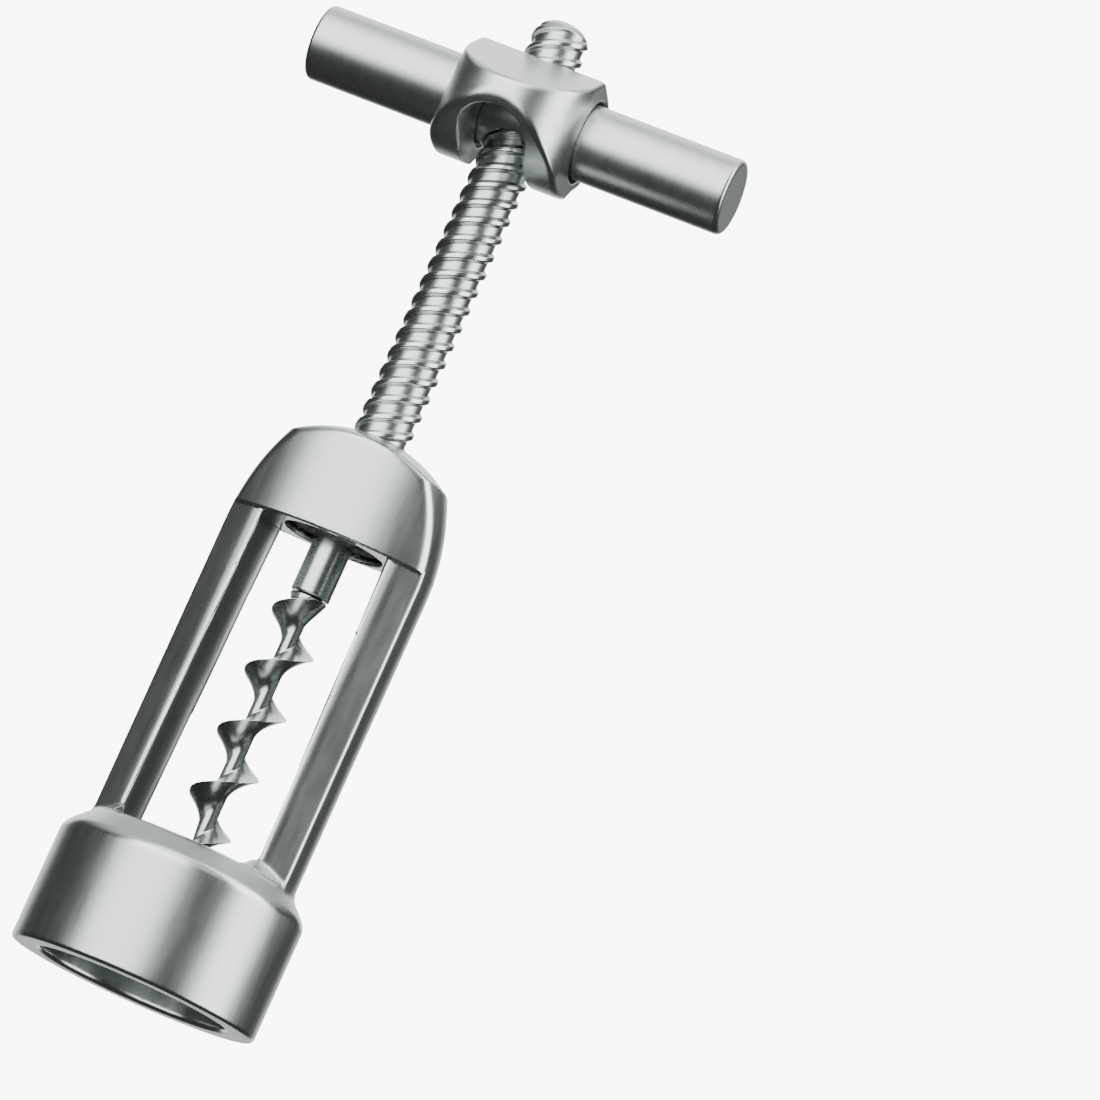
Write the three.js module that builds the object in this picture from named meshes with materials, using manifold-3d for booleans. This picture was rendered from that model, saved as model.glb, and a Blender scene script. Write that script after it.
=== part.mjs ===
// Bell corkscrew with a T handle: an open-sided bell frame, a three-start threaded
// spindle carrying the worm, and a handle bar with a rocking lock block.
// Millimetres, +Z up, origin at the centre of the ring's foot.
import * as THREE from 'three';
import { mergeVertices } from 'three/addons/utils/BufferGeometryUtils.js';
import Module from 'manifold-3d';

const wasm = await Module();
wasm.setup();

// Clearances
const fitGap = 0.3; // between pieces that touch or seat on each other
const runGap = 0.3; // around the spindle where it slides or turns
const barGap = 0.65; // around the bar inside the lock block

// Ring and bottle socket
const ringRadius = 21;
const ringHeight = 20;
const ringEdge = 0.5;
const collarHeight = 23.9; // top of the 45 degree collar above the ring
const footRise = 1.8; // the collar runs on up by this much at the feet of the arms
const footRun = 2.9;
const socketRadius = 16;
const socketDepth = 15.5;

// Bell and arms
const armRadius = 17.5;
const armRidgeX = 13; // where the outer and inner front facets meet
const armRidgeY = 6.4;
const armEdgeX = 17; // outer end of the outer front facet
const armEdgeY = 4;
const armInnerX = 9; // the inner front facet is carried in to here
const armInnerY = 7.5;
const boreFootRadius = 13.4; // cork bore, drafted towards the dome
const boreHeadRadius = 12.6;
const domeFoot = 78.4;
const domeSideRadius = 41;
const domeSideDrop = 3; // where the side starts to curve in, below the dome's foot
const creaseHeight = 92.5;
const crownRadius = 24;
const frameHeight = 96.6;
const domeHalfDepth = 9.9;
const domeFrontRadius = 29.2;

// Spindle
const threadRadius = 4.75;
const threadDepth = 0.65;
const threadStarts = 3;
const threadLead = 9.6;
const spindleFoot = 81.5;
const spindleTop = 172;
const spindleDome = 4.5; // height of the rounded top end

// Guide bush and its ring
const bushWall = 1.9;
const bushFlange = 1.3;
const flangeThickness = 1.2;
const bushTop = 93.2;
const bushFoot = 80.8;
const retainerThickness = 0.9;
const retainerWidth = 1.5;
const retainerBite = 0.7;

// Worm
const wormRadius = 4.85;
const wormCore = 1.15;
const wormPitch = 10.7;
const wormTip = 17.6;
const wormStart = 212; // degrees, the way the blade faces at the tip
const shoulderHeight = 68.8; // where the worm's cone meets the ferrule
const shoulderTaper = 4.5;
const ferruleRadius = 3.3;
const tangRadius = 2.2;
const tangLength = 12;
const pinRadius = 0.9;
const pinDrop = 6.5; // from the top of the tang down to the cross pin

// Handle bar
const barRadius = 6.4;
const barLength = 74;
const barChamfer = 0.5;
const barHeight = 154.75;

// Lock block, measured from the bar's axis
const blockWidth = 22.4;
const noseCentre = -8.8; // the front is a half round as wide as the block
const noseTop = 0.8; // top and bottom of the front edge
const noseFoot = -1.9;
const facetBackY = -5.4; // where the sloping top meets the rounded crest
const facetBackZ = 9;
const crestRadius = 3.5;
const backRadius = 8.6; // about the bar
const heelY = 1.6; // back corner of the underside
const heelZ = -9.8;
const bellyRadius = 18.8; // the underside is one broad arc
const bellyY = -4.4;
const bellyZ = 7.9;
const mouthHalf = 5.7; // round-topped passage up through the underside
const mouthFrontZ = -3.9; // its crown at the front
const mouthFrontY = -19;
const mouthSlope = 0.59;

// Friction rings between the bar and the block
const ringSection = 0.42;
const ringSquash = 0.33; // from the ring to its groove and to the block's bore

// Smoothness
const roundSteps = 72;
const fineSteps = 36;

const degrees = Math.PI / 180;

// A closed mesh as a solid, with its shared corners merged and its faces outwards.
function solidOf(geometry) {
  const bare = geometry.index ? geometry.toNonIndexed() : geometry.clone();
  bare.deleteAttribute('normal');
  bare.deleteAttribute('uv');
  const merged = mergeVertices(bare, 1e-4);
  const places = merged.attributes.position.array;
  const corners = merged.index.array;
  const kept = [];
  let volume = 0;
  const a = new THREE.Vector3();
  const b = new THREE.Vector3();
  const c = new THREE.Vector3();
  for (let i = 0; i < corners.length; i += 3) {
    const [p, q, r] = corners.slice(i, i + 3);
    if (p === q || q === r || r === p) continue;
    kept.push(p, q, r);
    a.fromArray(places, 3 * p);
    b.fromArray(places, 3 * q);
    c.fromArray(places, 3 * r);
    volume += a.dot(b.cross(c));
  }
  const triVerts = new Uint32Array(kept);
  if (volume < 0) triVerts.reverse();
  const vertProperties = new Float32Array(places);
  return new wasm.Manifold(new wasm.Mesh({ numProp: 3, vertProperties, triVerts }));
}

function geometryOf(solid) {
  const mesh = solid.getMesh();
  const geometry = new THREE.BufferGeometry();
  geometry.setAttribute('position', new THREE.Float32BufferAttribute(mesh.vertProperties, 3));
  geometry.setIndex(Array.from(mesh.triVerts));
  geometry.computeVertexNormals();
  return geometry;
}

// A body of revolution about Z from [radius, height] pairs, closed through the axis or on itself.
function turned(profile, steps = roundSteps) {
  const points = profile.map(([radius, height]) => new THREE.Vector2(radius, height));
  return solidOf(new THREE.LatheGeometry(points, steps).rotateX(Math.PI / 2));
}

// A plain round body along Z, or a hole of that size to be cut.
function rod(radius, foot, top, steps = roundSteps) {
  return turned([[0, foot], [radius, foot], [radius, top], [0, top]], steps);
}

// A round body along X, centred on the origin.
function crossRod(radius, length, steps = roundSteps) {
  const geometry = new THREE.CylinderGeometry(radius, radius, length, steps);
  return solidOf(geometry.rotateZ(Math.PI / 2));
}

// An outline in X and Y drawn out along Z between two heights.
function upright(points, foot, top) {
  const shape = new THREE.Shape(points.map(([x, y]) => new THREE.Vector2(x, y)));
  const geometry = new THREE.ExtrudeGeometry(shape, { depth: top - foot, bevelEnabled: false });
  return solidOf(geometry.translate(0, 0, foot));
}

// Points on an arc about a centre, both ends included.
function arc(centreX, centreY, radius, from, to, count) {
  const points = [];
  for (let i = 0; i <= count; i += 1) {
    const angle = from + ((to - from) * i) / count;
    points.push([centreX + radius * Math.cos(angle), centreY + radius * Math.sin(angle)]);
  }
  return points;
}

// A screw along Z: the radius is a function of the turn measured along the thread,
// 0 to 1 for each start, and the whole section turns once in every lead.
function screw({ radiusAt, starts, start, lead, foot, top, sections, stepsPerTurn, taperAt }) {
  const points = [];
  for (let i = 0; i < sections * starts; i += 1) {
    const angle = (2 * Math.PI * i) / (sections * starts);
    const radius = radiusAt((i % sections) / sections);
    points.push(new THREE.Vector2(radius * Math.cos(angle), radius * Math.sin(angle)));
  }
  const depth = top - foot;
  const steps = Math.ceil((depth / lead) * stepsPerTurn);
  const options = { depth, steps, bevelEnabled: false };
  const geometry = new THREE.ExtrudeGeometry(new THREE.Shape(points), options);
  const place = geometry.attributes.position;
  for (let i = 0; i < place.count; i += 1) {
    const height = place.getZ(i) + foot;
    const turn = start + (2 * Math.PI * place.getZ(i)) / lead;
    const scale = taperAt(height);
    const x = place.getX(i) * scale;
    const y = place.getY(i) * scale;
    const turnedX = x * Math.cos(turn) - y * Math.sin(turn);
    const turnedY = x * Math.sin(turn) + y * Math.cos(turn);
    place.setXYZ(i, turnedX, turnedY, height);
  }
  return solidOf(geometry);
}

// A value that runs evenly from one level to another between two turns.
function ramp(value, from, to, low, high) {
  const part = THREE.MathUtils.clamp((value - from) / (to - from), 0, 1);
  return low + (high - low) * part;
}

function finish(color, roughness, metalness = 1) {
  return new THREE.MeshStandardMaterial({ color, roughness, metalness });
}

function piece(name, solid, material) {
  const mesh = new THREE.Mesh(geometryOf(solid), material);
  mesh.name = name;
  return mesh;
}

// Sizes that follow from the ones above
const spindleBore = threadRadius + runGap;
const bushRadius = spindleBore + bushWall;
const flangeRadius = bushRadius + bushFlange;
const bushSeat = bushRadius + fitGap;
const flangeSeat = flangeRadius + fitGap;
const flangeTop = bushFoot + flangeThickness;
const retainerTop = bushFoot - fitGap;
const retainerFoot = retainerTop - retainerThickness;
const retainerRadius = flangeSeat + retainerBite;
const crownCentre = frameHeight - Math.sqrt(crownRadius ** 2 - spindleBore ** 2);
const sideStart = domeFoot - domeSideDrop;
const tangTop = spindleFoot + tangLength;
const pinHeight = tangTop - pinDrop;
const barBore = barRadius + barGap;

// The bell's outside above the ring, turned: straight arms, curved side, crease and crown.
function bellProfile() {
  const sideCentre = armRadius - domeSideRadius;
  const sideEnd = Math.asin((creaseHeight - sideStart) / domeSideRadius);
  const side = arc(sideCentre, sideStart, domeSideRadius, 0, sideEnd, 8);
  const creaseRadius = side[side.length - 1][0];
  const crownStart = Math.acos(creaseRadius / crownRadius);
  const crown = arc(0, crownCentre, crownRadius, crownStart, Math.PI / 2, 8);
  const lift = creaseHeight - crown[0][1];
  const rounded = crown.map(([radius, height], i) => [radius, height + lift * (1 - i / 8)]);
  rounded[rounded.length - 1][0] = 0;
  return [[0, ringHeight / 2], [armRadius, ringHeight / 2], ...side, ...rounded.slice(1)];
}

// The dome seen from above: two broad arcs that meet at the sides.
function domePlan() {
  const centre = domeFrontRadius - domeHalfDepth;
  const reach = Math.acos(centre / domeFrontRadius);
  const back = arc(0, -centre, domeFrontRadius, Math.PI / 2 - reach, Math.PI / 2 + reach, 24);
  const front = arc(0, centre, domeFrontRadius, -Math.PI / 2 - reach, -Math.PI / 2 + reach, 24);
  return [...back.slice(0, -1), ...front.slice(0, -1)];
}

// The two arms seen from above, as one outline: flat facets that meet at a ridge.
function armPlan() {
  const slope = (armRidgeY - armEdgeY) / (armEdgeX - armRidgeX);
  const outX = ringRadius;
  const outY = Math.max(armEdgeY - slope * (outX - armEdgeX), ringEdge);
  const corner = [[outX, outY], [armRidgeX, armRidgeY], [armInnerX, armInnerY]];
  const backLeft = corner.map(([x, y]) => [-x, y]).reverse();
  const frontLeft = corner.map(([x, y]) => [-x, -y]);
  const frontRight = corner.map(([x, y]) => [x, -y]).reverse();
  return [...corner, ...backLeft, ...frontLeft, ...frontRight];
}

function bellFrame() {
  const collarTop = ringRadius - (collarHeight - ringHeight);
  const ring = turned([
    [0, 0],
    [ringRadius - ringEdge, 0],
    [ringRadius, ringEdge],
    [ringRadius, ringHeight - ringEdge],
    [ringRadius - ringEdge, ringHeight],
    [collarTop, collarHeight],
    [0, collarHeight],
  ]);
  const bell = turned(bellProfile());
  const arms = bell.intersect(upright(armPlan(), 0, domeFoot + ringEdge));
  const dome = bell.intersect(upright(domePlan(), domeFoot, frameHeight + ringHeight));
  const bore = turned([
    [0, -1],
    [socketRadius + ringEdge, -1],
    [socketRadius + ringEdge, 0],
    [socketRadius, ringEdge],
    [socketRadius, socketDepth],
    [boreFootRadius, socketDepth + ringEdge],
    [boreFootRadius, collarHeight],
    [boreHeadRadius, domeFoot],
    [flangeSeat, domeFoot],
    [flangeSeat, retainerFoot - fitGap],
    [retainerRadius + fitGap, retainerFoot - fitGap],
    [retainerRadius + fitGap, retainerTop + fitGap / 2],
    [flangeSeat, retainerTop + fitGap / 2],
    [flangeSeat, flangeTop + fitGap],
    [bushSeat, flangeTop + fitGap],
    [bushSeat, bushTop + fitGap],
    [spindleBore, bushTop + fitGap],
    [spindleBore, frameHeight + 1],
    [0, frameHeight + 1],
  ]);
  const foot = turned([
    [0, ringHeight],
    [collarTop, ringHeight],
    [collarTop, collarHeight],
    [collarTop - footRun, collarHeight + footRise],
    [0, collarHeight + footRise],
  ]).subtract(windowBox());
  return ring.add(foot).add(arms).add(dome).subtract(bore);
}

// The space between the arms, above the collar.
function windowBox() {
  const half = boreFootRadius - 2;
  const reach = 2 * ringRadius;
  const corners = [[half, -reach], [half, reach], [-half, reach], [-half, -reach]];
  return upright(corners, collarHeight, domeFoot);
}

function guideBush() {
  return turned([
    [spindleBore, bushFoot],
    [flangeRadius, bushFoot],
    [flangeRadius, flangeTop],
    [bushRadius, flangeTop],
    [bushRadius, bushTop],
    [spindleBore, bushTop],
    [spindleBore, bushFoot],
  ], fineSteps);
}

function bushRetainer() {
  const inner = retainerRadius - retainerWidth;
  return turned([
    [inner, retainerFoot],
    [retainerRadius, retainerFoot],
    [retainerRadius, retainerTop],
    [inner, retainerTop],
    [inner, retainerFoot],
  ], fineSteps);
}

// Each thread is a narrow crest with sloping flanks and a wide root.
function threadedSpindle() {
  const root = threadRadius - threadDepth;
  const radiusAt = (turn) => {
    const fromCrest = Math.abs(turn - 0.5);
    return ramp(fromCrest, 0.1, 0.28, threadRadius, root);
  };
  const thread = screw({
    radiusAt,
    starts: threadStarts,
    start: 0,
    lead: threadLead,
    foot: spindleFoot,
    top: spindleTop,
    sections: 7,
    stepsPerTurn: 12,
    taperAt: () => 1,
  });
  // the blank that rounds the top end and bevels the foot, clear of the crests between
  const blank = threadRadius + runGap;
  const shoulder = spindleTop - spindleDome;
  const topEnd = [];
  for (let i = 0; i <= 6; i += 1) {
    const angle = 15 * i * degrees;
    topEnd.push([blank * Math.cos(angle) ** 0.8, shoulder + spindleDome * Math.sin(angle)]);
  }
  topEnd[topEnd.length - 1][0] = 0;
  const envelope = turned([
    [0, spindleFoot - 1],
    [root, spindleFoot - 1],
    [root, spindleFoot],
    [blank, spindleFoot + blank - root],
    ...topEnd,
  ], fineSteps);
  const socket = rod(tangRadius + fitGap, spindleFoot - 1, tangTop + fitGap, fineSteps);
  return thread.intersect(envelope).subtract(socket).subtract(pinHole());
}

function pinHole() {
  return crossRod(pinRadius + fitGap, 4 * threadRadius, 20).translate(0, 0, pinHeight);
}

// The worm: a sharp-edged auger that grows out of a cone, with a tang for the spindle.
function worm() {
  const radiusAt = (turn) => {
    const above = ramp(turn, 0.5, 0.72, wormRadius, wormCore);
    const below = ramp(turn, 0.44, 0.5, wormCore, wormRadius);
    return turn < 0.5 ? below : above;
  };
  const auger = screw({
    radiusAt,
    starts: 1,
    start: wormStart * degrees,
    lead: wormPitch,
    foot: wormTip,
    top: shoulderHeight,
    sections: 18,
    stepsPerTurn: 18,
    taperAt: (height) => ramp(height, wormTip, wormTip + wormPitch, 0.12, 1),
  });
  const shank = turned([
    [0, shoulderHeight - shoulderTaper],
    [wormCore, shoulderHeight - shoulderTaper],
    [ferruleRadius, shoulderHeight],
    [tangRadius, shoulderHeight],
    [tangRadius, tangTop],
    [0, tangTop],
  ], fineSteps);
  return auger.add(shank).subtract(pinHole());
}

// The smooth sleeve over the tang, between the worm's cone and the spindle's foot.
function wormFerrule() {
  const bore = tangRadius + fitGap;
  const foot = shoulderHeight + fitGap;
  const top = spindleFoot - fitGap;
  return turned([
    [bore, foot],
    [ferruleRadius, foot],
    [ferruleRadius, top],
    [bore, top],
    [bore, foot],
  ], fineSteps);
}

function wormPin() {
  const length = 2 * (threadRadius - threadDepth - fitGap);
  return crossRod(pinRadius, length, 20).translate(0, 0, pinHeight);
}

// The round bar along X, drilled for the spindle and grooved for the two friction rings.
function handleBar() {
  const half = barLength / 2;
  const grooveX = cheekCentre();
  const grooveHalf = ringSection + fitGap;
  const grooveRadius = ringCentre() - ringSection - ringSquash;
  const right = [
    [barRadius, grooveX - grooveHalf],
    [grooveRadius, grooveX - grooveHalf],
    [grooveRadius, grooveX + grooveHalf],
    [barRadius, grooveX + grooveHalf],
    [barRadius, half - barChamfer],
    [barRadius - barChamfer, half],
    [0, half],
  ];
  const left = right.map(([radius, x]) => [radius, -x]).reverse();
  const bar = turned([...left, ...right]).rotate([0, 90, 0]);
  return bar.subtract(rod(spindleBore, -2 * barRadius, 2 * barRadius));
}

function cheekCentre() {
  return (mouthHalf + blockWidth / 2) / 2;
}

function ringCentre() {
  return barBore - ringSquash - ringSection;
}

function frictionRing(side) {
  const geometry = new THREE.TorusGeometry(ringCentre(), ringSection, 8, fineSteps);
  return solidOf(geometry.rotateY(Math.PI / 2).translate(side * cheekCentre(), 0, 0));
}

// The lock block: flat sides and a half-round nose, a sloping top, a rounded back, a broad
// curved underside, a passage up from below and a slot at the back for the spindle.
function lockBlock() {
  const front = noseCentre - blockWidth / 2;
  const slope = (facetBackZ - noseTop) / (facetBackY - front);
  const lean = Math.atan(slope);
  const crestY = facetBackY + crestRadius * Math.sin(lean);
  const crestZ = facetBackZ - crestRadius * Math.cos(lean);
  const bellyFrom = Math.PI + Math.atan2(bellyZ - noseFoot, bellyY - front);
  const bellyTo = Math.PI + Math.atan2(bellyZ - heelZ, bellyY - heelY);
  const side = [
    ...arc(crestY, crestZ, crestRadius, 75 * degrees, Math.PI / 2 + lean, 6),
    [front - 1, noseTop - slope],
    [front - 1, noseFoot],
    ...arc(bellyY, bellyZ, bellyRadius, bellyFrom, bellyTo, 20),
    ...arc(0, 0, backRadius, -64 * degrees, 74 * degrees, 28),
  ];
  const slab = across(side, blockWidth);
  const half = blockWidth / 2;
  const plan = upright([
    ...arc(0, noseCentre, half, Math.PI, 2 * Math.PI, 40),
    [half, 2 * backRadius],
    [-half, 2 * backRadius],
  ], -3 * backRadius, 3 * backRadius);
  const slot = upright([
    ...arc(0, 0, spindleBore, Math.PI, 2 * Math.PI, 16),
    [spindleBore, 2 * backRadius],
    [-spindleBore, 2 * backRadius],
  ], -3 * backRadius, 3 * backRadius);
  return slab
    .intersect(plan)
    .subtract(passage())
    .subtract(slot)
    .subtract(crossRod(barBore, 2 * blockWidth));
}

// An outline in Y and Z drawn out along X, centred.
function across(outline, width) {
  const profile = new THREE.Shape(outline.map(([y, z]) => new THREE.Vector2(y, z)));
  const geometry = new THREE.ExtrudeGeometry(profile, { depth: width, bevelEnabled: false });
  geometry.translate(0, 0, -width / 2);
  // the outline's own axes (across, up, along) become Y, Z and X
  geometry.applyMatrix4(new THREE.Matrix4().makeBasis(
    new THREE.Vector3(0, 1, 0),
    new THREE.Vector3(0, 0, 1),
    new THREE.Vector3(1, 0, 0),
  ));
  return solidOf(geometry);
}

// The round-topped passage through the underside: it climbs from the nose as far as the
// bar's axis and runs level from there to the back.
function passage() {
  const unit = [[1, -4], ...arc(0, 0, 1, 0, Math.PI, 20), [-1, -4]];
  const shape = new THREE.Shape(unit.map(([x, z]) => new THREE.Vector2(x, z)));
  const length = 2 * bellyRadius;
  const geometry = new THREE.ExtrudeGeometry(shape, { depth: length, steps: 2, bevelEnabled: false });
  const place = geometry.attributes.position;
  const stations = [mouthFrontY - bellyRadius, 0, 2 * backRadius];
  for (let i = 0; i < place.count; i += 1) {
    const y = stations[Math.round((2 * place.getZ(i)) / length)];
    const crown = mouthFrontZ + mouthSlope * (Math.min(y, 0) - mouthFrontY);
    place.setXYZ(i, place.getX(i) * mouthHalf, y, crown + (place.getY(i) - 1) * mouthHalf);
  }
  return solidOf(geometry);
}

const satinNickel = finish(0xaab0ac, 0.34);
const polishedNickel = finish(0xc2c8c4, 0.22);
const wormSteel = finish(0xb4bab8, 0.2);
const springSteel = finish(0x6c6f70, 0.35);
const nylon = finish(0xd8d6cc, 0.5, 0);
const rubber = finish(0x1c1c1e, 0.7, 0);

const corkscrew = new THREE.Group();
corkscrew.add(piece('bell_frame', bellFrame(), satinNickel));
corkscrew.add(piece('guide_bush', guideBush(), nylon));
corkscrew.add(piece('bush_retaining_ring', bushRetainer(), springSteel));
corkscrew.add(piece('threaded_spindle', threadedSpindle(), polishedNickel));
corkscrew.add(piece('worm', worm(), wormSteel));
corkscrew.add(piece('worm_ferrule', wormFerrule(), polishedNickel));
corkscrew.add(piece('worm_pin', wormPin(), springSteel));

const handle = new THREE.Group();
handle.position.z = barHeight;
handle.add(piece('handle_bar', handleBar(), satinNickel));
handle.add(piece('lock_block', lockBlock(), polishedNickel));
handle.add(piece('friction_ring_left', frictionRing(-1), rubber));
handle.add(piece('friction_ring_right', frictionRing(1), rubber));
corkscrew.add(handle);

export default corkscrew;
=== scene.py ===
import math

import bpy
import numpy as np
from mathutils import Matrix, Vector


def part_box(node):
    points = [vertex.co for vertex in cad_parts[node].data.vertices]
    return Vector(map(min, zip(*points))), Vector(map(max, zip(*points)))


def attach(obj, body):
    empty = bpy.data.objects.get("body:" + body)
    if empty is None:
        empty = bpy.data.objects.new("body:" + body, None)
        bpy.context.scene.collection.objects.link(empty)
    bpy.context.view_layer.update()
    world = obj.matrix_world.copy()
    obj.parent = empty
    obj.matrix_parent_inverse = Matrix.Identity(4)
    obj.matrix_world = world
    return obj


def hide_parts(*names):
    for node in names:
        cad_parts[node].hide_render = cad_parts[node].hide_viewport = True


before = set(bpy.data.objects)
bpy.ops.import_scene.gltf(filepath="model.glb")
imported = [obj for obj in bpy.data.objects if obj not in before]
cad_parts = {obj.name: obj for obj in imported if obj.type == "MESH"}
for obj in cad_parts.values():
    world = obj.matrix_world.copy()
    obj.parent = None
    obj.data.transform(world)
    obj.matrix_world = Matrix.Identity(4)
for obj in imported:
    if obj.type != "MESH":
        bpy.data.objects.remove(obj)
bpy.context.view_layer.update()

# --- Camera and studio -------------------------------------------------------------------
# A long lens a little below the corkscrew and to its right, tilted so the tool leans; a plain
# pale floor beneath it, and a room lit by tall soft boxes in front, at the right and behind.

EYE_AZIMUTH = math.radians(15.79)
EYE_DISTANCE = 1.2
EYE_HEIGHT = -0.11274
EYE_YAW = 0.026715
EYE_PITCH = 0.168976
EYE_ROLL = math.radians(24.08)
LENS_MM = 248.36
SENSOR_MM = 36.0
FLOOR_HEIGHT = -0.3
FLOOR_HALF = 4.0
COOL_WHITE = (0.95, 1.0, 0.985, 1.0)
WHITE = (1.0, 1.0, 1.0, 1.0)
BACKDROP_STRENGTH = 9.0


def unit(vector):
    """The vector divided by its own length."""
    return np.asarray(vector, float) / np.linalg.norm(vector)


facing = np.array([-math.sin(EYE_AZIMUTH), math.cos(EYE_AZIMUTH), 0.0])
across = np.array([math.cos(EYE_AZIMUTH), math.sin(EYE_AZIMUTH), 0.0])
level = math.cos(EYE_YAW) * facing + math.sin(EYE_YAW) * across
forward = math.cos(EYE_PITCH) * level + math.sin(EYE_PITCH) * np.array([0.0, 0.0, 1.0])
right = unit(np.cross(forward, [0.0, 0.0, 1.0]))
upward = np.cross(right, forward)
lean_right = math.cos(EYE_ROLL) * right + math.sin(EYE_ROLL) * upward
lean_up = math.cos(EYE_ROLL) * upward - math.sin(EYE_ROLL) * right
eye = -EYE_DISTANCE * facing + np.array([0.0, 0.0, EYE_HEIGHT])

camera_data = bpy.data.cameras.new("camera")
camera_data.lens = LENS_MM
camera_data.sensor_width = SENSOR_MM
camera_data.clip_end = 50.0
camera = bpy.data.objects.new("camera", camera_data)
placing = np.eye(4)
placing[:3, 0] = lean_right
placing[:3, 1] = lean_up
placing[:3, 2] = -forward
placing[:3, 3] = eye
camera.matrix_world = Matrix(placing.tolist())
bpy.context.scene.collection.objects.link(camera)
bpy.context.scene.camera = camera


MIX_LOW = 6  # the Mix node's colour sockets, by number
MIX_HIGH = 7
MIX_COLOUR = 2


class Field:
    """A shader value. Arithmetic on it adds Math nodes to its tree."""

    def __init__(self, finish, socket):
        self.finish = finish
        self.socket = socket

    def maths(self, operation, first, second=None):
        """One Math node of that operation on one or two values."""
        values = {0: first} if second is None else {0: first, 1: second}
        return self.finish.node("ShaderNodeMath", {"operation": operation}, values)

    def __add__(self, other):
        return self.maths("ADD", self, other)

    def __radd__(self, other):
        return self.maths("ADD", other, self)

    def __sub__(self, other):
        return self.maths("SUBTRACT", self, other)

    def __rsub__(self, other):
        return self.maths("SUBTRACT", other, self)

    def __mul__(self, other):
        return self.maths("MULTIPLY", self, other)

    def __rmul__(self, other):
        return self.maths("MULTIPLY", other, self)

    def __abs__(self):
        return self.maths("ABSOLUTE", self)

    def smooth(self, low, high):
        """0 below low, 1 above high, and an S curve between."""
        settings = {"interpolation_type": "SMOOTHSTEP"}
        return self.finish.node(
            "ShaderNodeMapRange", settings, {"Value": self, "From Min": low, "From Max": high}
        )


class Finish:
    """A node tree under construction: a material's, or the room's."""

    def __init__(self, tree):
        self.tree = tree

    def node(self, kind, settings=None, sockets=None, output=0):
        """A node of that type: its settings first, then its sockets' values or links. It gives
        the output of that number, or the node itself where the output is None."""
        made = self.tree.nodes.new(kind)
        for name, value in (settings or {}).items():
            setattr(made, name, value)
        for name, value in (sockets or {}).items():
            self.put(made.inputs[name], value)
        return made if output is None else Field(self, made.outputs[output])

    def put(self, socket, value):
        """A link where the value is a Field, and otherwise a constant."""
        if isinstance(value, Field):
            self.tree.links.new(value.socket, socket)
        else:
            socket.default_value = value

    def blend(self, factor, low, high):
        """A colour between two colours."""
        sockets = {0: factor, MIX_LOW: low, MIX_HIGH: high}
        return self.node("ShaderNodeMix", {"data_type": "RGBA"}, sockets, output=MIX_COLOUR)


room = bpy.data.worlds.new("studio")
room.use_nodes = True
bpy.context.scene.world = room
room.node_tree.nodes.clear()
studio = Finish(room.node_tree)
heading = studio.node("ShaderNodeTexCoord", output=0)
axes = studio.node("ShaderNodeSeparateXYZ", None, {0: heading}, output=None)
east, north, height = (Field(studio, part) for part in axes.outputs)
bearing = studio.node("ShaderNodeMath", {"operation": "ARCTAN2"}, {0: east, 1: north * -1.0})


def soft_box(centre, half, edge):
    """1 within half of the centre bearing, falling to 0 over the edge; all in degrees, with 0
    at the front and positive to the right."""
    turn = bearing - math.radians(centre)
    wrapped = studio.node(
        "ShaderNodeMath",
        {"operation": "WRAP"},
        {0: turn, 1: -math.pi, 2: math.pi},
    )
    return 1.0 - abs(wrapped).smooth(math.radians(half), math.radians(half + edge))


front_left = soft_box(-16.0, 20.0, 20.0) * 3.9
far_right = soft_box(86.0, 12.0, 16.0) * 4.6
behind = soft_box(200.0, 14.0, 24.0) * 2.0
walls = front_left + far_right + behind
standing = height.smooth(-0.4, 0.02) * (1.0 - height.smooth(0.55, 0.9) * 0.5)
overhead = height.smooth(0.4, 0.9) * 0.8
gloom = 0.045 + height.smooth(-0.2, 0.4) * 0.03
light = walls * standing + overhead + gloom
seen = studio.node("ShaderNodeLightPath", output=0)
lit = studio.node("ShaderNodeBackground", None, {"Color": COOL_WHITE, "Strength": light})
blank = studio.node("ShaderNodeBackground", None, {"Color": WHITE, "Strength": BACKDROP_STRENGTH})
sky = studio.node("ShaderNodeMixShader", None, {0: seen, 1: lit, 2: blank})
studio.node("ShaderNodeOutputWorld", None, {"Surface": sky}, output=None)


def mesh_object(name, points, faces, normals=None):
    """An object at the origin with these points in metres, smooth, with its own normals if given."""
    mesh = bpy.data.meshes.new(name)
    mesh.from_pydata(points.tolist(), [], faces)
    mesh.polygons.foreach_set("use_smooth", np.ones(len(mesh.polygons), bool))
    mesh.update()
    if normals is not None:
        mesh.normals_split_custom_set_from_vertices(normals.tolist())
    made = bpy.data.objects.new(name, mesh)
    bpy.context.scene.collection.objects.link(made)
    return made


def material(name, colour, metallic, roughness):
    """A new material with a Principled shader, and the Finish that builds its nodes."""
    made = bpy.data.materials.new(name)
    made.use_nodes = True
    finish = Finish(made.node_tree)
    shader = made.node_tree.nodes["Principled BSDF"]
    finish.shader = shader
    shader.inputs["Base Color"].default_value = (*colour, 1.0)
    shader.inputs["Metallic"].default_value = metallic
    shader.inputs["Roughness"].default_value = roughness
    return made, finish


def grain(finish, scale, stretch, detail=2.0):
    """Noise on the piece's own coordinates, in metres, drawn out by the stretch along each axis."""
    where = finish.node("ShaderNodeTexCoord", output=3)
    drawn = finish.node("ShaderNodeMapping", None, {"Vector": where, "Scale": stretch})
    return finish.node(
        "ShaderNodeTexNoise", None, {"Vector": drawn, "Scale": scale, "Detail": detail}
    )


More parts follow.
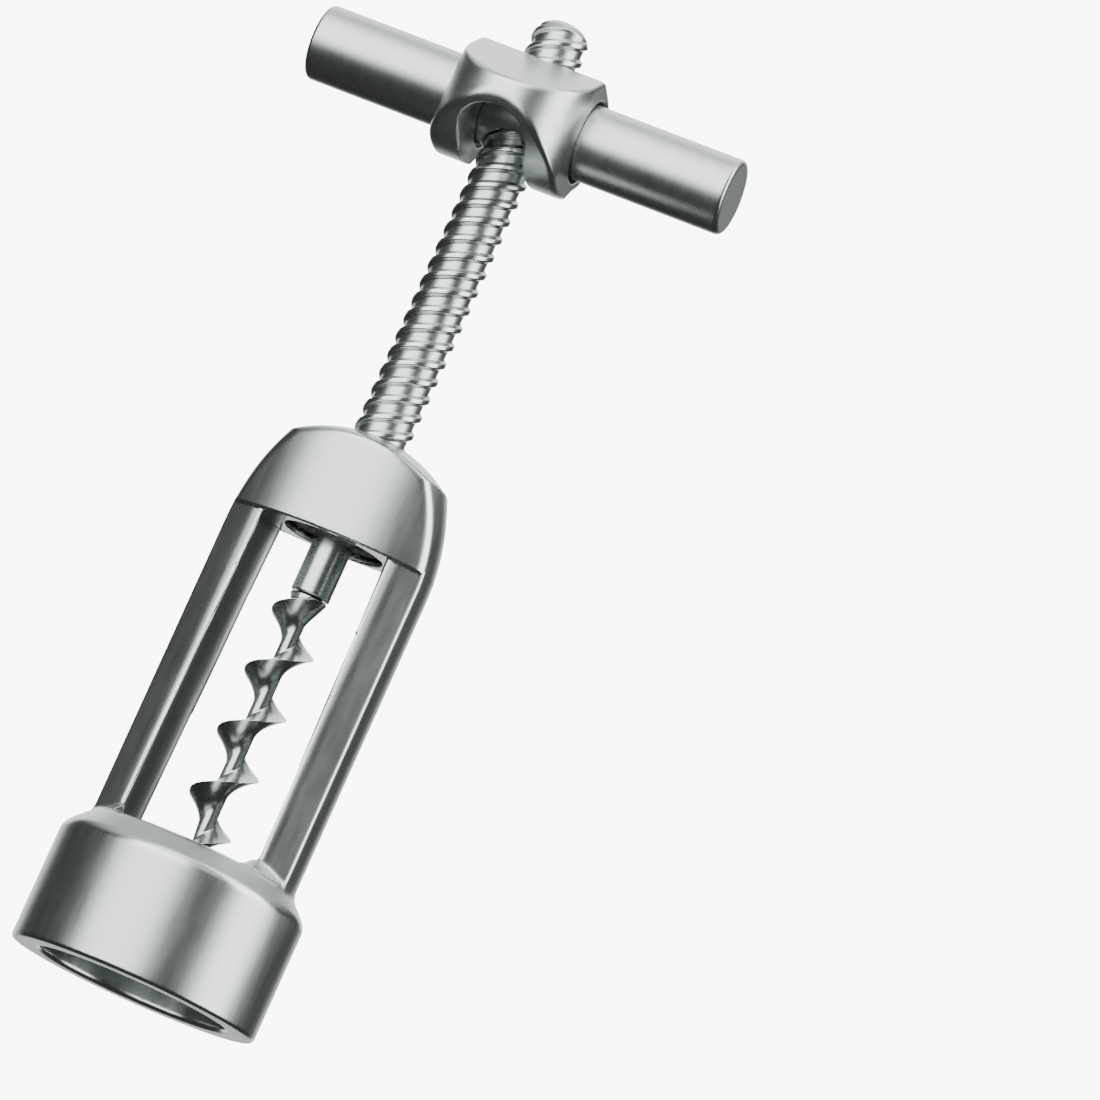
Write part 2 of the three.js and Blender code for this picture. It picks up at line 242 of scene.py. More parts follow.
floor_points = FLOOR_HALF * np.array([[-1, -1, 0], [1, -1, 0], [1, 1, 0], [-1, 1, 0]], float)
floor_points[:, 2] = FLOOR_HEIGHT
floor = mesh_object("floor", floor_points, [[0, 1, 2, 3]])
paper, paper_nodes = material("pale_floor", (0.86, 0.87, 0.86), 0.0, 0.9)
paper_mottle = grain(paper_nodes, 9.0, (1.0, 1.0, 1.0))
paper_nodes.put(
    paper_nodes.shader.inputs["Base Color"],
    paper_nodes.blend(paper_mottle, (0.84, 0.85, 0.84, 1.0), (0.88, 0.89, 0.88, 1.0)),
)
floor.data.materials.append(paper)
floor.visible_glossy = False

# --- Bell frame --------------------------------------------------------------------------
# One die-cast zinc piece, satin nickel plated: a ring that seats on the bottle, two arms with
# milled faces, and a domed head bored for the spindle. All sizes are in millimetres.

MM = 0.001


def extent(node):
    """The lowest and the highest corner of a CAD solid at rest, in millimetres."""
    return [[round(float(v) / MM, 3) for v in corner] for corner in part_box(node)]


bell_corner = extent("bell_frame")[1]
clip_foot, clip_corner = extent("bush_retaining_ring")
bush_corner = extent("guide_bush")[1]
spindle_base, spindle_corner = extent("threaded_spindle")

FIT_GAP = 0.3
RUN_GAP = 0.3
RING_RADIUS = bell_corner[0]
RING_HEIGHT = 20.0
COLLAR_HEIGHT = 23.9
FOOT_RISE = 1.8
FOOT_RUN = 2.9
SOCKET_RADIUS = 16.0
SOCKET_DEPTH = 15.5
ARM_RADIUS = 17.5
RIDGE = (13.0, 6.4)
ARM_EDGE = (17.0, 4.0)
ARM_INNER = (9.0, 7.5)
BORE_FOOT = 13.4
BORE_HEAD = 12.6
DOME_FOOT = 78.4
DOME_SIDE = 41.0
SIDE_DROP = 3.0
CREASE_HEIGHT = 92.5
CROWN_RADIUS = 24.0
HEAD_HEIGHT = 96.6
LENS_DEPTH = 9.9
LENS_RADIUS = 29.2
SPINDLE_BORE = spindle_corner[0] + RUN_GAP
BUSH_SEAT = 7.25
FLANGE_SEAT = bush_corner[0] + FIT_GAP
FLANGE_TOP = 82.3
BUSH_TOP = bush_corner[2] + FIT_GAP
CLIP_SEAT = clip_corner[0] + FIT_GAP / 2
CLIP_FOOT = clip_foot[2] - FIT_GAP
CLIP_TOP = clip_corner[2] + FIT_GAP / 2
INSIDE = -1.0  # outlines run a little past the axis, and the bore past both ends
PAST_FOOT = -2.0
PAST_HEAD = 99.0
BELL_FOOT = 10.0  # buried in the ring
FOOT_GAP = 11.4  # half the gap between the two arms' feet
FACET_EASE = 0.25
ARM_EDGE_EASE = 0.35
BORE_EDGE_EASE = 0.9
LENS_EASE = 0.9
HEAD_FOOT_EASE = 0.45
RING_FOOT_EASE = 0.7
COLLAR_FOOT_EASE = 0.9
COLLAR_TOP_EASE = 0.7
FOOT_EASE = 0.5
FOOT_FILLET = 0.6
ARM_FILLET = 0.9
HEAD_FILLET = 0.15
SOCKET_EASE = 0.9
SEAT_EASE = 0.3
ARM_OVERLAP = 0.5
FRAME_STEP = 0.43


def arc(centre, radius, start, stop, count):
    """Points on a circle about the centre from one angle to another, in degrees."""
    turn = np.radians(np.linspace(start, stop, count))
    return [(centre[0] + radius * math.cos(a), centre[1] + radius * math.sin(a)) for a in turn]


def outline_distance(u, v, outline):
    """Distance to a closed outline, negative inside: the least distance to any of its edges,
    with the sign turned by how many edges a line towards +u crosses."""
    nearest = np.full(u.shape, np.inf, u.dtype)
    inside = np.zeros(u.shape, bool)
    for (u0, v0), (u1, v1) in zip(outline, outline[1:] + outline[:1]):
        du, dv = u1 - u0, v1 - v0
        length = du * du + dv * dv
        if length < 1e-12:
            continue
        along = np.clip(((u - u0) * du + (v - v0) * dv) / length, 0.0, 1.0)
        gap = (u - u0 - along * du) ** 2 + (v - v0 - along * dv) ** 2
        nearest = np.minimum(nearest, gap)
        if abs(dv) > 1e-12:
            crosses = (v0 <= v) != (v1 <= v)
            inside ^= crosses & (u < u0 + (v - v0) * du / dv)
    nearest = np.sqrt(nearest)
    return np.where(inside, -nearest, nearest)


def both(a, b, round_off):
    """The shape inside both, with the edge where they meet rounded off."""
    near = np.maximum(round_off - np.abs(a - b), 0.0) / round_off
    return np.maximum(a, b) + near * near * round_off / 4


def either(a, b, fillet):
    """The shape inside one or the other, with a fillet where they meet."""
    return -both(-a, -b, fillet)


def skin(distance, low, high, step):
    """The surface where a distance function is zero. Each cell of a grid that the surface
    crosses gets one point, the mean of its edges' crossings, slid down the slope of the
    function on to the surface; each grid edge that it crosses gets a face of four points."""
    ticks = [np.arange(a, b + step, step, dtype=np.float32) for a, b in zip(low, high)]
    value = distance(*np.meshgrid(*ticks, indexing="ij"))
    shape = np.array(value.shape)
    total = np.zeros((*(shape - 1), 3), np.float32)
    count = np.zeros(shape - 1, np.float32)
    crossings = []
    for axis in range(3):
        lower = [slice(None)] * 3
        upper = [slice(None)] * 3
        lower[axis] = slice(0, -1)
        upper[axis] = slice(1, None)
        a, b = value[tuple(lower)], value[tuple(upper)]
        crossed = (a < 0) != (b < 0)
        index = np.argwhere(crossed)
        part = (a[crossed] / (a[crossed] - b[crossed])).astype(np.float32)
        place = index.astype(np.float32)
        place[:, axis] += part
        crossings.append((index, a[crossed] < 0))
        second, third = (axis + 1) % 3, (axis + 2) % 3
        for back_second in (0, 1):
            for back_third in (0, 1):
                cell = index.copy()
                cell[:, second] -= back_second
                cell[:, third] -= back_third
                good = ((cell >= 0) & (cell < shape - 1)).all(axis=1)
                key = tuple(cell[good].T)
                np.add.at(total, key, place[good])
                np.add.at(count, key, 1.0)
    number = np.full(shape - 1, -1, np.int64)
    used = count > 0
    number[used] = np.arange(used.sum())
    points = (total[used] / count[used][:, None]).astype(np.float64) * step
    points += np.array([t[0] for t in ticks])
    faces = []
    for axis, (index, outward) in enumerate(crossings):
        second, third = (axis + 1) % 3, (axis + 2) % 3
        corners = []
        for back_second, back_third in ((1, 1), (0, 1), (0, 0), (1, 0)):
            cell = index.copy()
            cell[:, second] -= back_second
            cell[:, third] -= back_third
            corners.append(number[tuple(cell.T)])
        quads = np.stack(corners, axis=1)
        quads[~outward] = quads[~outward][:, ::-1]
        faces.append(quads)

    def slope(where):
        """The function's gradient, from its values a little either side along each axis."""
        reach = 0.02
        sides = []
        for axis in range(3):
            ahead, behind = where.copy(), where.copy()
            ahead[:, axis] += reach
            behind[:, axis] -= reach
            sides.append((distance(*ahead.T) - distance(*behind.T)) / (2 * reach))
        return np.stack(sides, axis=1)

    start = points.copy()
    for _ in range(4):
        rise = slope(points)
        steep = np.maximum((rise**2).sum(axis=1), 0.05)
        points -= rise * (distance(*points.T) / steep)[:, None]
        points = np.clip(points, start - 0.6 * step, start + 0.6 * step)
    rise = slope(points)
    normals = rise / np.maximum(np.linalg.norm(rise, axis=1), 1e-6)[:, None]
    return points, np.concatenate(faces).tolist(), normals


def wear_and_edge_highlight(piece, amount):
    """A value from 0 to 1 on each point, which the materials read as rubbed edges and painted edge
    highlight.
    """
    # The per-point share of rubbed edge and painted edge highlight, partly real wear and partly
    # painted light.
    layer = piece.data.attributes.new("wear_and_edge_highlight", "FLOAT", "POINT")
    layer.data.foreach_set("value", np.clip(amount, 0.0, 1.0).astype(np.float32))


side_start = DOME_FOOT - SIDE_DROP
side_stop = math.degrees(math.asin((CREASE_HEIGHT - side_start) / DOME_SIDE))
side_arc = arc((ARM_RADIUS - DOME_SIDE, side_start), DOME_SIDE, 0.0, side_stop, 26)
crown_centre = HEAD_HEIGHT - math.sqrt(CROWN_RADIUS**2 - SPINDLE_BORE**2)
crown_from = math.degrees(math.acos(side_arc[-1][0] / CROWN_RADIUS))
crown_arc = arc((0.0, crown_centre), CROWN_RADIUS, crown_from, 90.0, 20)
crease_lift = CREASE_HEIGHT - crown_arc[0][1]
crown_arc = [(r, z + crease_lift * (1 - i / 19)) for i, (r, z) in enumerate(crown_arc)]
BELL_OUTLINE = [
    (INSIDE, BELL_FOOT),
    (ARM_RADIUS, BELL_FOOT),
    *side_arc,
    *crown_arc[1:],
    (INSIDE, crown_arc[-1][1]),
]
collar_top = RING_RADIUS - (COLLAR_HEIGHT - RING_HEIGHT)
FOOT_OUTLINE = [
    (INSIDE, RING_HEIGHT),
    (collar_top, RING_HEIGHT),
    (collar_top, COLLAR_HEIGHT),
    (collar_top - FOOT_RUN, COLLAR_HEIGHT + FOOT_RISE),
    (INSIDE, COLLAR_HEIGHT + FOOT_RISE),
]
BORE_OUTLINE = [
    (INSIDE, PAST_FOOT),
    (SOCKET_RADIUS, PAST_FOOT),
    (SOCKET_RADIUS, SOCKET_DEPTH),
    (BORE_FOOT, SOCKET_DEPTH + 0.5),
    (BORE_FOOT, COLLAR_HEIGHT),
    (BORE_HEAD, DOME_FOOT),
    (FLANGE_SEAT, DOME_FOOT),
    (FLANGE_SEAT, CLIP_FOOT),
    (CLIP_SEAT, CLIP_FOOT),
    (CLIP_SEAT, CLIP_TOP),
    (FLANGE_SEAT, CLIP_TOP),
    (FLANGE_SEAT, FLANGE_TOP),
    (BUSH_SEAT, FLANGE_TOP),
    (BUSH_SEAT, BUSH_TOP),
    (SPINDLE_BORE, BUSH_TOP),
    (SPINDLE_BORE, PAST_HEAD),
    (INSIDE, PAST_HEAD),
]


def facet(x, y, inner, outer):
    """Distance in front of the flat face through two points of the arm's section."""
    across_x, across_y = outer[0] - inner[0], outer[1] - inner[1]
    length = math.hypot(across_x, across_y)
    return ((y - inner[1]) * across_x - (x - inner[0]) * across_y) / length


def bell_distance(x, y, z, sharp=1.0):
    """The ring, arms and head joined, less the bore. Sharp below 1 takes the rounding away."""
    r = np.hypot(x, y)
    side, depth = np.abs(x), np.abs(y)
    bell = outline_distance(r, z, BELL_OUTLINE)
    inner_face = facet(side, depth, ARM_INNER, RIDGE)
    outer_face = facet(side, depth, RIDGE, ARM_EDGE)
    arms = both(bell, both(inner_face, outer_face, FACET_EASE * sharp), ARM_EDGE_EASE * sharp)
    arms = np.maximum(arms, z - DOME_FOOT - ARM_OVERLAP)
    drafted = (z - COLLAR_HEIGHT) / (DOME_FOOT - COLLAR_HEIGHT)
    bore_radius = BORE_FOOT + (BORE_HEAD - BORE_FOOT) * drafted
    arms = both(arms, bore_radius - r, BORE_EDGE_EASE * sharp)
    lens = np.hypot(x, depth + LENS_RADIUS - LENS_DEPTH) - LENS_RADIUS
    head = both(bell, lens, LENS_EASE * sharp)
    head = both(head, DOME_FOOT - z, HEAD_FOOT_EASE * sharp)
    collar = (r + z - collar_top - COLLAR_HEIGHT) / math.sqrt(2)
    ring = both(r - RING_RADIUS, -z, RING_FOOT_EASE * sharp)
    ring = both(ring, collar, COLLAR_FOOT_EASE * sharp)
    ring = both(ring, z - COLLAR_HEIGHT, COLLAR_TOP_EASE * sharp)
    foot = both(outline_distance(r, z, FOOT_OUTLINE), FOOT_GAP - side, FOOT_EASE * sharp)
    body = either(ring, foot, FOOT_FILLET * sharp)
    body = either(body, arms, ARM_FILLET * sharp)
    body = either(body, head, HEAD_FILLET * sharp)
    body = both(body, -np.maximum(r - SOCKET_RADIUS, z - SOCKET_DEPTH), SOCKET_EASE * sharp)
    return both(body, -outline_distance(r, z, BORE_OUTLINE), SEAT_EASE * sharp)


FULL_WEAR_AND_HIGHLIGHT = 0.12


def sculpted(name, distance, low, high, step, lift=0.0):
    """A smooth-shaded piece from a distance function in millimetres, raised by the lift. Its rubbed
    edge and painted edge highlight is the depth that rounding takes off a sharp edge, as a share of
    the full depth."""
    points, faces, normals = skin(distance, low, high, step)
    # Edges painted lighter by how much rounding takes off them: partly rubbed plating, partly a
    # painted edge highlight.
    worn_and_highlit = -distance(*points.T, sharp=1e-4) / FULL_WEAR_AND_HIGHLIGHT
    points[:, 2] += lift
    piece = mesh_object(name, points * MM, faces, normals)
    wear_and_edge_highlight(piece, worn_and_highlit)
    return piece


bell_low, bell_high = (-21.9, -21.9, -0.9), (21.9, 21.9, 97.6)
bell = sculpted("bell_casting", bell_distance, bell_low, bell_high, FRAME_STEP)
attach(bell, "frame")
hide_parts("bell_frame")


EDGE_RUB_AND_SHINE = 0.12  # how much smoother a rubbed edge is; four times it, how far the edge's colour is lifted towards the painted edge highlight
# The light colour edges are lifted towards: partly worn plating, partly a painted edge highlight.
WORN_EDGE_HIGHLIGHT = (0.86, 0.88, 0.87, 1.0)


def nickel(name, dark, light, roughness, strokes, bump):
    """Plated metal: colour drifting between two greys, roughness drifting with it, fine strokes drawn
    out along the way it was finished, and smoother rubbed edges whose brighter colour is partly real
    wear and partly a painted edge highlight."""
    made, finish = material(name, light, 1.0, roughness)
    cloud = grain(finish, 90.0, (1.0, 1.0, 1.0), 3.0)
    lines = grain(finish, 1.0, strokes, 2.0)
    speck = grain(finish, 5200.0, (1.0, 1.0, 1.0), 1.0)
    worn_and_highlit = finish.node("ShaderNodeAttribute", {"attribute_name": "wear_and_edge_highlight"}, None, output=2)
    tone = cloud * 0.5 + lines * 0.5
    plain = finish.blend(tone, (*dark, 1.0), (*light, 1.0))
    # Edges painted lighter: partly worn plating, partly a painted edge highlight.
    bright = finish.blend(worn_and_highlit * EDGE_RUB_AND_SHINE * 4.0, plain, WORN_EDGE_HIGHLIGHT)
    finish.put(finish.shader.inputs["Base Color"], bright)
    drift = roughness - 0.07 + cloud * 0.06 + lines * 0.1 - worn_and_highlit * EDGE_RUB_AND_SHINE
    finish.put(finish.shader.inputs["Roughness"], drift)
    relief = lines * 0.7 + speck * 0.3
    raised = finish.node(
        "ShaderNodeBump", None, {"Height": relief, "Strength": bump, "Distance": 0.00002}
    )
    finish.put(finish.shader.inputs["Normal"], raised)
    return made, finish


CAST_DARK = (0.50, 0.54, 0.525)
CAST_LIGHT = (0.62, 0.655, 0.64)
cast_nickel, _ = nickel(
    "satin_nickel_casting", CAST_DARK, CAST_LIGHT, 0.29, (900.0, 900.0, 130.0), 0.3
)
bell.data.materials.append(cast_nickel)

# --- Guide bush and its clip ---------------------------------------------------------------
# A moulded nylon bush in the head, which the spindle turns and slides in, held up by a
# spring-steel ring snapped into a groove below it.

nylon, nylon_nodes = material("moulded_nylon", (0.68, 0.66, 0.6), 0.0, 0.45)
nylon_cloud = grain(nylon_nodes, 400.0, (1.0, 1.0, 1.0))
nylon_nodes.put(
    nylon_nodes.shader.inputs["Base Color"],
    nylon_nodes.blend(nylon_cloud, (0.62, 0.6, 0.54, 1.0), (0.72, 0.7, 0.64, 1.0)),
)
nylon_nodes.put(nylon_nodes.shader.inputs["Roughness"], 0.38 + nylon_cloud * 0.15)
spring, _ = nickel(
    "spring_steel", (0.14, 0.15, 0.16), (0.24, 0.25, 0.26), 0.4, (2000.0, 2000.0, 200.0), 0.3
)


def refinish(node, made):
    """Gives a carried-over solid its finished material."""
    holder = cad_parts[node]
    holder.data.materials.clear()
    holder.data.materials.append(made)


refinish("guide_bush", nylon)
refinish("bush_retaining_ring", spring)
refinish("worm_pin", spring)

# --- Threaded spindle ----------------------------------------------------------------------
# Turned and rolled steel, pearl nickel plated: three right-hand threads with narrow crests
# and wide roots, a rounded top, and a blind hole below for the worm's tang.

CREST = spindle_corner[0]
ROOT = 4.1
STARTS = 3
LEAD = 9.6
SPINDLE_FOOT = spindle_base[2]
SPINDLE_TOP = spindle_corner[2]
TOP_DOME = 4.5
CREST_HALF = 0.09  # shares of one thread's turn
FLANK = 0.2
TANG_HOLE = 2.5
TANG_HOLE_TOP = 93.8


def wrapped(rows):
    """Faces round a stack of rings of points, with the first and last ring drawn to a point."""
    count, around = rows.shape[:2]
    index = np.arange(count * around).reshape(count, around)
    beside = np.roll(index, -1, axis=1)
    quads = np.stack([index[:-1], beside[:-1], beside[1:], index[1:]], axis=2).reshape(-1, 4)
    foot, top = count * around, count * around + 1
    low = np.stack([np.full(around, foot), beside[0], index[0]], axis=1)
    high = np.stack([index[-1], beside[-1], np.full(around, top)], axis=1)
    points = np.concatenate([rows.reshape(-1, 3), rows[:1].mean(axis=1), rows[-1:].mean(axis=1)])
    return points, quads.tolist() + low.tolist() + high.tolist()


def thread_radius(turn):
    """A narrow crest, smooth flanks and a wide root, over one turn of one thread."""
    fall = np.clip((np.abs(turn - 0.5) - CREST_HALF) / FLANK, 0.0, 1.0)
    return CREST - (CREST - ROOT) * fall * fall * (3 - 2 * fall)


def ring_rows(radii, heights, angles):
    """Rings of points at those radii and heights, at each angle."""
    return np.stack(
        [radii * np.cos(angles), radii * np.sin(angles), np.broadcast_to(heights, radii.shape)],
        axis=2,
    )


around = np.linspace(0.0, 1.0, 120, endpoint=False)[None, :]
shoulder = SPINDLE_TOP - TOP_DOME
shaft_rows = 420
heights = np.linspace(SPINDLE_FOOT, shoulder, shaft_rows)
dome_turn = np.radians(np.linspace(0.0, 88.0, 26))[1:]
heights = np.concatenate([heights, shoulder + TOP_DOME * np.sin(dome_turn)])[:, None]
cap = np.full(heights.shape, CREST + RUN_GAP)
cap[shaft_rows:, 0] = (CREST + RUN_GAP) * np.cos(dome_turn) ** 0.8
cap = np.minimum(cap, ROOT + np.maximum(heights - SPINDLE_FOOT, 0.0))
radii = np.minimum(thread_radius((around * STARTS) % 1.0), cap)
angles = 2 * np.pi * (around + (heights - SPINDLE_FOOT) / LEAD)
thread_rows = ring_rows(radii, heights, angles)
hole_radii = np.array([0.3, TANG_HOLE, TANG_HOLE, ROOT - 0.1])[:, None] + 0 * around
hole_heights = np.array([TANG_HOLE_TOP, TANG_HOLE_TOP, SPINDLE_FOOT, SPINDLE_FOOT])[:, None]
hole_rows = ring_rows(hole_radii, hole_heights, 2 * np.pi * around + 0 * hole_heights)
spindle_points, spindle_faces = wrapped(np.concatenate([hole_rows, thread_rows]))
spindle = mesh_object("three_start_spindle", spindle_points * MM, spindle_faces)
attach(spindle, "spindle")
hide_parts("threaded_spindle")
PEARL_DARK = (0.56, 0.60, 0.585)
PEARL_LIGHT = (0.69, 0.72, 0.705)
pearl_thread, _ = nickel(
    "pearl_nickel_thread", PEARL_DARK, PEARL_LIGHT, 0.29, (900.0, 900.0, 900.0), 0.15
)
spindle.data.materials.append(pearl_thread)
# Thread crests painted lighter: partly rubbed plating, partly a painted highlight on the crests.
wear_and_edge_highlight(spindle, (np.hypot(*spindle_points[:, :2].T) - ROOT) / (CREST - ROOT) - 0.4)

# --- Worm and ferrule ----------------------------------------------------------------------
# The worm is milled from steel rod: a thin core with one sharp-edged blade, tapered to a
# point. Its cone sits against a smooth plated ferrule, and its tang goes up into the spindle.

worm_tip, worm_corner = extent("worm")
ferrule_base, ferrule_corner = extent("worm_ferrule")

BLADE_RADIUS = -worm_tip[0]
CORE_RADIUS = 1.3
WORM_PITCH = 10.7
WORM_TIP = worm_tip[2]
WORM_START = math.radians(212.0)
SHOULDER = ferrule_base[2] - FIT_GAP
SHOULDER_TAPER = 4.5
FERRULE_RADIUS = ferrule_corner[0]
FERRULE_BORE = 2.5
TANG_RADIUS = 2.2
TANG_TOP = worm_corner[2]
ABOVE_SPAN = 0.46  # turns over which the blade's upper and lower flanks reach the core
ABOVE_HOLLOW = 2.3
BELOW_SPAN = 0.2
BELOW_HOLLOW = 1.7
POINT_SHARE = 0.12  # of the full radius, left at the tip

blade_turn = np.concatenate(
    [
        np.linspace(0.0, 0.3, 12, endpoint=False),
        np.linspace(0.3, 0.5, 26, endpoint=False),
        np.linspace(0.5, 0.74, 30, endpoint=False),
        np.linspace(0.74, 1.0, 14, endpoint=False),
    ]
)[None, :]
above = np.clip(1 - (blade_turn - 0.5) / ABOVE_SPAN, 0, 1) ** ABOVE_HOLLOW
below = np.clip(1 - (0.5 - blade_turn) / BELOW_SPAN, 0, 1) ** BELOW_HOLLOW
flare = np.where(blade_turn < 0.5, below, above)
blade = CORE_RADIUS + (BLADE_RADIUS - CORE_RADIUS) * flare
worm_heights = np.linspace(WORM_TIP, SHOULDER - 0.3, 520)[:, None]
taper = POINT_SHARE + (1 - POINT_SHARE) * np.clip((worm_heights - WORM_TIP) / WORM_PITCH, 0, 1)
worm_angles = 2 * np.pi * (blade_turn + (worm_heights - WORM_TIP) / WORM_PITCH) + WORM_START
auger_points, auger_faces = wrapped(ring_rows(blade * taper, worm_heights, worm_angles))


def turned(profile, steps=96):
    """A round body about Z: the profile's radii and heights carried once round the axis."""
    profile = np.array(profile, float)
    angle = np.linspace(0.0, 2 * np.pi, steps, endpoint=False)[None, :]
    return ring_rows(profile[:, :1] + 0 * angle, profile[:, 1:], angle + 0 * profile[:, :1])


shank_profile = [
    (0.2, SHOULDER - SHOULDER_TAPER),
    (CORE_RADIUS, SHOULDER - SHOULDER_TAPER),
    (1.6, SHOULDER - 3.6),
    (2.6, SHOULDER - 1.4),
    (FERRULE_RADIUS - 0.12, SHOULDER - 0.12),
    (FERRULE_RADIUS - 0.3, SHOULDER),
    (TANG_RADIUS, SHOULDER),
    (TANG_RADIUS, TANG_TOP),
    (0.2, TANG_TOP),
]
shank_points, shank_faces = wrapped(turned(shank_profile))
offset = len(auger_points)
worm_points = np.concatenate([auger_points, shank_points])
worm_faces = auger_faces + [[corner + offset for corner in face] for face in shank_faces]
worm = mesh_object("auger_worm", worm_points * MM, worm_faces)
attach(worm, "spindle")
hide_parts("worm")
worm_steel, _ = nickel(
    "milled_worm_steel", (0.5, 0.53, 0.52), (0.68, 0.7, 0.69), 0.24, (500.0, 500.0, 1600.0), 0.15
)
worm.data.materials.append(worm_steel)
# The blade's outer edge painted lighter: partly rubbed, partly a painted edge highlight.
wear_and_edge_highlight(worm, (np.hypot(*worm_points[:, :2].T) - 4.3) / 0.5)


def closed_ring(profile, steps=96):
    """A ring about Z: a closed profile carried once round, both ways joined to its start."""
    rows = turned(profile, steps)
    count, around_count = rows.shape[:2]
    index = np.arange(count * around_count).reshape(count, around_count)
    beside = np.roll(index, -1, axis=1)
    above, above_beside = np.roll(index, -1, axis=0), np.roll(beside, -1, axis=0)
    quads = np.stack([index, beside, above_beside, above], axis=2).reshape(-1, 4)
    return rows.reshape(-1, 3), quads.tolist()


ferrule_low, ferrule_high = ferrule_base[2], ferrule_corner[2]
ease = 0.3
ferrule_profile = [
    (FERRULE_BORE, ferrule_low),
    *arc((FERRULE_RADIUS - ease, ferrule_low + ease), ease, -90.0, 0.0, 6),
    *arc((FERRULE_RADIUS - ease, ferrule_high - ease), ease, 0.0, 90.0, 6),
    (FERRULE_BORE, ferrule_high),
]
ferrule_points, ferrule_faces = closed_ring(ferrule_profile)
ferrule = mesh_object("smooth_ferrule", ferrule_points * MM, ferrule_faces)
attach(ferrule, "worm_ferrule")
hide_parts("worm_ferrule")
pearl_smooth, _ = nickel(
    "pearl_nickel_smooth", PEARL_DARK, PEARL_LIGHT, 0.26, (400.0, 400.0, 2400.0), 0.12
)
ferrule.data.materials.append(pearl_smooth)

# --- Handle bar ----------------------------------------------------------------------------
# A solid round steel bar, satin nickel plated and left plain, ground while it turned, drilled
# across for the spindle and grooved for two rubber rings that give the lock block its drag.

bar_base, bar_corner = extent("handle_bar")

BAR_RADIUS = bar_corner[1]
BAR_HALF = bar_corner[0]
BAR_HEIGHT = (bar_base[2] + bar_corner[2]) / 2
GROOVE_RADIUS = 5.55
GROOVE_PLACE = 8.45
GROOVE_HALF = 0.72
BAR_END_EASE = 0.9
CROSS_HOLE_EASE = 0.3
BAR_STEP = 0.36


def bar_distance(x, y, z, sharp=1.0):
    """A cylinder along X with eased ends, less the cross hole and the two grooves."""
    r = np.hypot(y, z)
    bar = both(r - BAR_RADIUS, np.abs(x) - BAR_HALF, BAR_END_EASE * sharp)
    groove = np.maximum(np.abs(np.abs(x) - GROOVE_PLACE) - GROOVE_HALF, GROOVE_RADIUS - r)
    bar = np.maximum(bar, -groove)
    return both(bar, SPINDLE_BORE - np.hypot(x, y), CROSS_HOLE_EASE * sharp)


bar_low, bar_high = (-37.9, -7.2, -7.2), (37.9, 7.2, 7.2)
bar = sculpted("ground_bar", bar_distance, bar_low, bar_high, BAR_STEP, BAR_HEIGHT)
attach(bar, "handle")
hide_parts("handle_bar")
bar_nickel, _ = nickel(
    "satin_nickel_ground", (0.55, 0.59, 0.575), (0.69, 0.715, 0.70), 0.33, (2600.0, 320.0, 320.0), 0.4
)
bar.data.materials.append(bar_nickel)

# --- Lock block ----------------------------------------------------------------------------
# A die-cast zinc rocker, pearl nickel plated, that straddles the bar: flat sides, a half-round
# nose, a sloping top, a curved belly with an arched passage, and a slot at the back.

block_base, block_corner = extent("lock_block")

BLOCK_HALF = block_corner[0]
NOSE_CENTRE = block_base[1] + BLOCK_HALF
NOSE_TOP = 0.8
NOSE_FOOT = -1.9
FACET_BACK = (-5.4, 9.0)
CREST_RADIUS = 3.5
BACK_RADIUS = block_corner[1]
HEEL = (1.6, -9.8)
BELLY_RADIUS = 18.8
BELLY_CENTRE = (-4.4, 7.9)
MOUTH_HALF = 5.7
MOUTH_FRONT = (-19.0, -3.9)
MOUTH_SLOPE = 0.59
BAR_BORE = 7.05
BLOCK_EASE = 0.9
MOUTH_EASE = 0.35
SLOT_EASE = 0.5
BAR_BORE_EASE = 0.4
BLOCK_STEP = 0.27

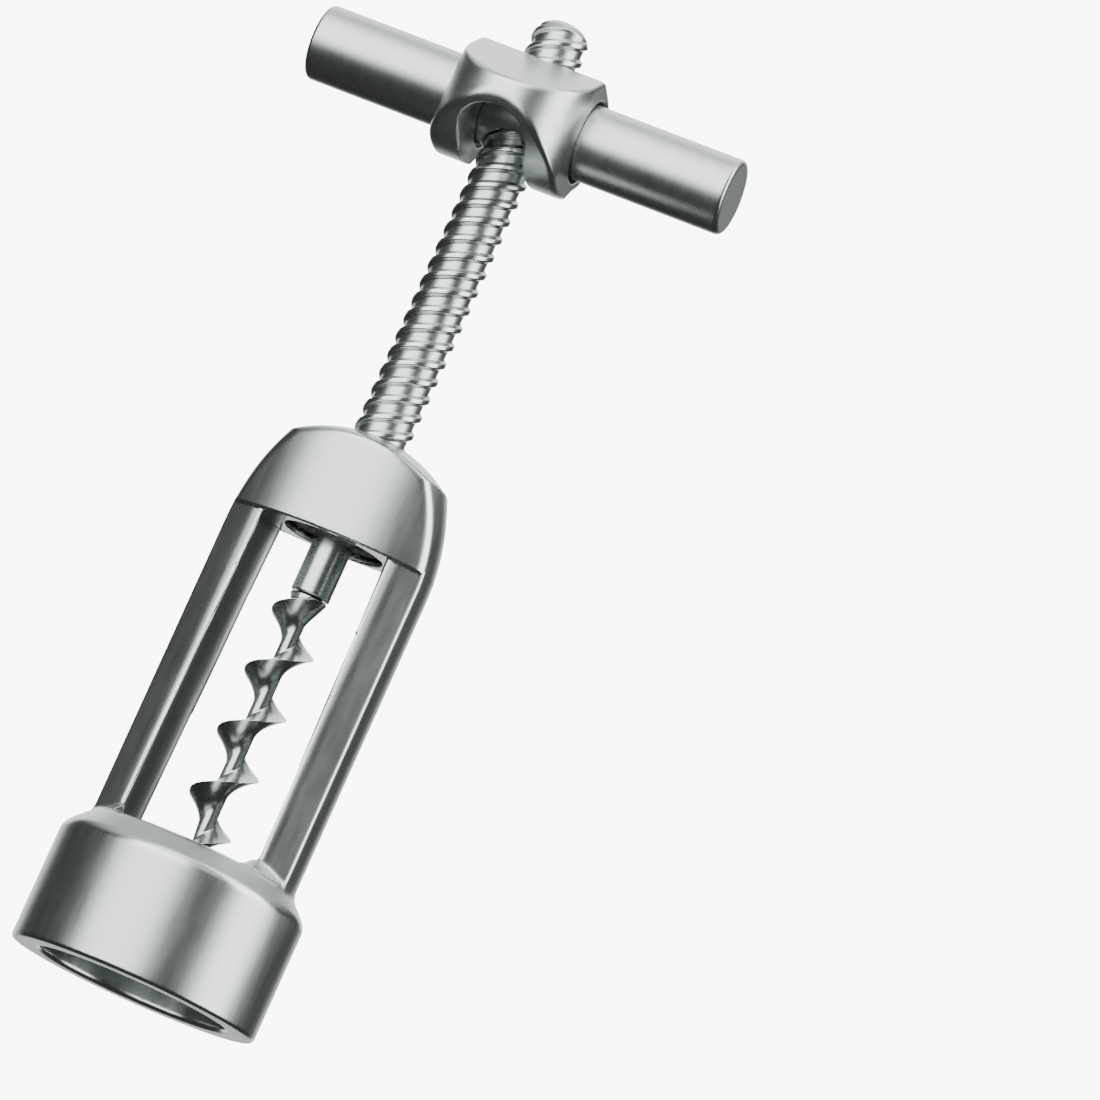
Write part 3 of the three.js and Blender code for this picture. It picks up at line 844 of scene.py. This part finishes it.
block_front = NOSE_CENTRE - BLOCK_HALF
facet_slope = (FACET_BACK[1] - NOSE_TOP) / (FACET_BACK[0] - block_front)
facet_lean = math.atan(facet_slope)
crest = (
    FACET_BACK[0] + CREST_RADIUS * math.sin(facet_lean),
    FACET_BACK[1] - CREST_RADIUS * math.cos(facet_lean),
)
belly_from = 180 + math.degrees(
    math.atan2(BELLY_CENTRE[1] - NOSE_FOOT, BELLY_CENTRE[0] - block_front)
)
belly_to = 180 + math.degrees(math.atan2(BELLY_CENTRE[1] - HEEL[1], BELLY_CENTRE[0] - HEEL[0]))
BLOCK_SIDE = [
    *arc(crest, CREST_RADIUS, 75.0, 90.0 + math.degrees(facet_lean), 10),
    (block_front - 3, NOSE_TOP - 3 * facet_slope),
    (block_front - 3, NOSE_FOOT + 2),
    *arc(BELLY_CENTRE, BELLY_RADIUS, belly_from - 8, belly_to, 60),
    *arc((0.0, 0.0), BACK_RADIUS, -64.0, 74.0, 40),
]


def block_distance(x, y, z, sharp=1.0):
    """The nose's plan and the side's outline together, less passage, slot and bar bore."""
    plan = np.where(y < NOSE_CENTRE, np.hypot(x, y - NOSE_CENTRE), np.abs(x)) - BLOCK_HALF
    side = outline_distance(y, z, BLOCK_SIDE)
    crown = MOUTH_FRONT[1] + MOUTH_SLOPE * (np.minimum(y, 0.0) - MOUTH_FRONT[0]) - MOUTH_HALF
    mouth = np.where(z < crown, np.abs(x), np.hypot(x, z - crown)) - MOUTH_HALF
    slot = np.where(y > 0, np.abs(x), np.hypot(x, y)) - SPINDLE_BORE
    block = both(plan, side, BLOCK_EASE * sharp)
    block = both(block, -mouth, MOUTH_EASE * sharp)
    block = both(block, -slot, SLOT_EASE * sharp)
    return both(block, BAR_BORE - np.hypot(y, z), BAR_BORE_EASE * sharp)


block_low, block_high = (-12.0, -21.0, -11.8), (12.0, 9.6, 10.4)
block = sculpted(
    "rocking_lock_block", block_distance, block_low, block_high, BLOCK_STEP, BAR_HEIGHT
)
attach(block, "lock_block")
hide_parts("lock_block")
pearl_cast, _ = nickel(
    "pearl_nickel_casting", (0.58, 0.62, 0.605), (0.70, 0.735, 0.72), 0.32, (500.0, 500.0, 500.0), 0.3
)
block.data.materials.append(pearl_cast)

# --- Friction rings ------------------------------------------------------------------------
# Two black nitrile rings in the bar's grooves, pinched by the lock block's bore.

nitrile, nitrile_nodes = material("black_nitrile", (0.012, 0.012, 0.013), 0.0, 0.6)
nitrile_dust = grain(nitrile_nodes, 900.0, (1.0, 1.0, 1.0))
nitrile_nodes.put(nitrile_nodes.shader.inputs["Roughness"], 0.5 + nitrile_dust * 0.25)
nitrile_nodes.put(
    nitrile_nodes.shader.inputs["Base Color"],
    nitrile_nodes.blend(nitrile_dust, (0.01, 0.01, 0.011, 1.0), (0.02, 0.02, 0.021, 1.0)),
)
refinish("friction_ring_left", nitrile)
refinish("friction_ring_right", nitrile)
